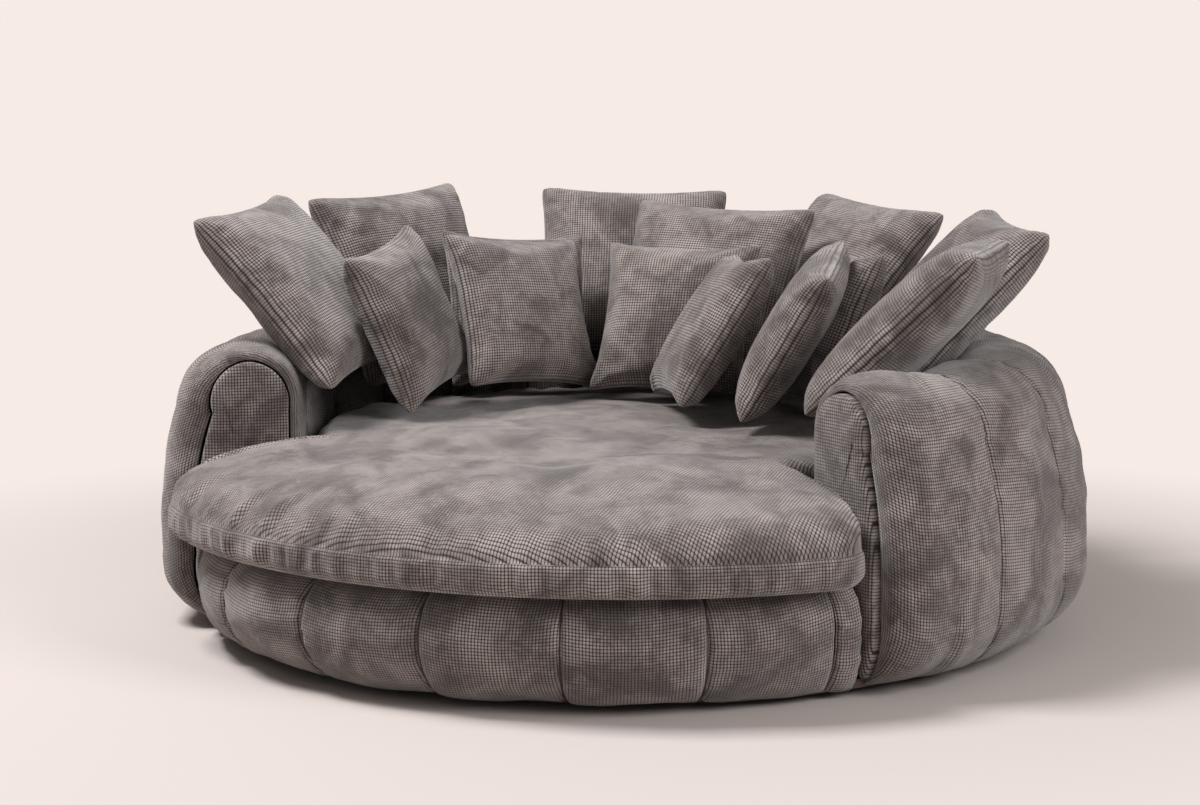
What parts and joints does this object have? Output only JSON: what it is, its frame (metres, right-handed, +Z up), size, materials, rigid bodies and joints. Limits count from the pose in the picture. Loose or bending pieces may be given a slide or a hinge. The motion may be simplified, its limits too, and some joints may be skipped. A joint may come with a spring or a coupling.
{
  "type": "cuddle chair",
  "caption": "Round cuddle chair with a rolled, quilted back and arms, a wide T-shaped seat cushion and loose scatter cushions.",
  "frame": {"origin": "on the floor under the middle of the round plan, at the centre of the box's underside", "axes": "+Z up, -Y out of the open front, +X to the right of someone who looks at the chair from the front"},
  "size_m": [2.097, 2.1012, 0.9583],
  "materials": {
    "waffle_fabric": "taupe-grey jumbo waffle cord with a short velvety nap",
    "zip_tape": "woven polyester zip tape",
    "zip_metal": "enamelled zinc casting, satin",
    "plywood": "poplar plywood, sawn and sanded",
    "softwood": "planed spruce",
    "hardboard": "hardboard, smooth face out",
    "foam": "open-cell polyurethane foam",
    "fibre_filling": "bonded polyester fibre",
    "webbing": "elastic upholstery webbing",
    "dust_fabric": "spun-bonded dust cloth",
    "black_plastic": "moulded polypropylene, satin black",
    "zinc_steel": "zinc-plated screws"
  },
  "bodies": {
    "root": {"base_board": "plywood", "dust_cover": "dust_fabric", "frame_posts": "softwood", "deck_ring": "plywood", "deck_beams": "softwood", "back_ribs": "plywood", "top_rail": "plywood", "seat_webbing": "webbing", "deck_pad": "fibre_filling", "back_foam": "foam", "front_foam": "foam", "back_facings": "hardboard", "front_facing": "hardboard", "right_arm_board": "plywood", "left_arm_board": "plywood", "glides": "black_plastic", "glide_screws": "zinc_steel", "right_arm_wrap": "waffle_fabric", "back_wrap": "waffle_fabric", "left_arm_wrap": "waffle_fabric", "base_panel_1": "waffle_fabric", "base_panel_2": "waffle_fabric", "base_panel_3": "waffle_fabric", "base_panel_4": "waffle_fabric", "base_panel_5": "waffle_fabric", "base_panel_6": "waffle_fabric", "right_arm_front": "waffle_fabric", "left_arm_front": "waffle_fabric"},
    "seat_cushion": {"seat_cushion_cover": "waffle_fabric", "seat_cushion_core": "foam", "seat_zip": "zip_tape"},
    "zip_slider": {"zip_slider": "zip_metal"},
    "large_cushion_1": {"large_cushion_1_cover": "waffle_fabric", "large_cushion_1_pad": "fibre_filling"},
    "large_cushion_2": {"large_cushion_2_cover": "waffle_fabric", "large_cushion_2_pad": "fibre_filling"},
    "large_cushion_3": {"large_cushion_3_cover": "waffle_fabric", "large_cushion_3_pad": "fibre_filling"},
    "large_cushion_4": {"large_cushion_4_cover": "waffle_fabric", "large_cushion_4_pad": "fibre_filling"},
    "large_cushion_5": {"large_cushion_5_cover": "waffle_fabric", "large_cushion_5_pad": "fibre_filling"},
    "large_cushion_6": {"large_cushion_6_cover": "waffle_fabric", "large_cushion_6_pad": "fibre_filling"},
    "large_cushion_7": {"large_cushion_7_cover": "waffle_fabric", "large_cushion_7_pad": "fibre_filling"},
    "small_cushion_1": {"small_cushion_1_cover": "waffle_fabric", "small_cushion_1_pad": "fibre_filling"},
    "small_cushion_2": {"small_cushion_2_cover": "waffle_fabric", "small_cushion_2_pad": "fibre_filling"},
    "small_cushion_3": {"small_cushion_3_cover": "waffle_fabric", "small_cushion_3_pad": "fibre_filling"},
    "small_cushion_4": {"small_cushion_4_cover": "waffle_fabric", "small_cushion_4_pad": "fibre_filling"},
    "small_cushion_5": {"small_cushion_5_cover": "waffle_fabric", "small_cushion_5_pad": "fibre_filling"},
    "small_cushion_6": {"small_cushion_6_cover": "waffle_fabric", "small_cushion_6_pad": "fibre_filling"},
    "small_cushion_7": {"small_cushion_7_cover": "waffle_fabric", "small_cushion_7_pad": "fibre_filling"}
  },
  "joints": [
    {"name": "seat_cushion_lift", "type": "slide", "parent": "root", "child": "seat_cushion", "axis": [0, 0, 1], "range_m": [0, 0.4]},
    {"name": "zip_slider_run", "type": "hinge", "parent": "seat_cushion", "child": "zip_slider", "pos_m": [0, 0, 0.2837], "axis": [0, 0, 1], "range_deg": [0, 117]},
    {"name": "large_cushion_1_lift", "type": "slide", "parent": "seat_cushion", "child": "large_cushion_1", "axis": [-0.4677, -0.0409, 0.8829], "range_m": [0, 0.5]},
    {"name": "large_cushion_2_lift", "type": "slide", "parent": "seat_cushion", "child": "large_cushion_2", "axis": [-0.3214, 0.117, 0.9397], "range_m": [0, 0.5]},
    {"name": "large_cushion_3_lift", "type": "slide", "parent": "seat_cushion", "child": "large_cushion_3", "axis": [-0.1458, 0.3797, 0.9135], "range_m": [0, 0.5]},
    {"name": "large_cushion_4_lift", "type": "slide", "parent": "seat_cushion", "child": "large_cushion_4", "axis": [0.0298, 0.3407, 0.9397], "range_m": [0, 0.5]},
    {"name": "large_cushion_5_lift", "type": "slide", "parent": "seat_cushion", "child": "large_cushion_5", "axis": [0.2886, 0.4444, 0.848], "range_m": [0, 0.5]},
    {"name": "large_cushion_6_lift", "type": "slide", "parent": "seat_cushion", "child": "large_cushion_6", "axis": [0.5846, 0.0614, 0.809], "range_m": [0, 0.5]},
    {"name": "large_cushion_7_lift", "type": "slide", "parent": "seat_cushion", "child": "large_cushion_7", "axis": [0.4985, 0.3115, 0.809], "range_m": [0, 0.5]},
    {"name": "small_cushion_1_lift", "type": "slide", "parent": "seat_cushion", "child": "small_cushion_1", "axis": [-0.2755, -0.0096, 0.9613], "range_m": [0, 0.4]},
    {"name": "small_cushion_2_lift", "type": "slide", "parent": "seat_cushion", "child": "small_cushion_2", "axis": [-0.2456, 0.1251, 0.9613], "range_m": [0, 0.4]},
    {"name": "small_cushion_3_lift", "type": "slide", "parent": "seat_cushion", "child": "small_cushion_3", "axis": [-0.208, 0.1808, 0.9613], "range_m": [0, 0.4]},
    {"name": "small_cushion_4_lift", "type": "slide", "parent": "seat_cushion", "child": "small_cushion_4", "axis": [-0.032, 0.2782, 0.96], "range_m": [0, 0.4]},
    {"name": "small_cushion_5_lift", "type": "slide", "parent": "seat_cushion", "child": "small_cushion_5", "axis": [0.3522, 0.2034, 0.9135], "range_m": [0, 0.4]},
    {"name": "small_cushion_6_lift", "type": "slide", "parent": "seat_cushion", "child": "small_cushion_6", "axis": [0.389, 0.1189, 0.9135], "range_m": [0, 0.4]},
    {"name": "small_cushion_7_lift", "type": "slide", "parent": "seat_cushion", "child": "small_cushion_7", "axis": [0.3411, 0.2215, 0.9135], "range_m": [0, 0.4]}
  ]
}
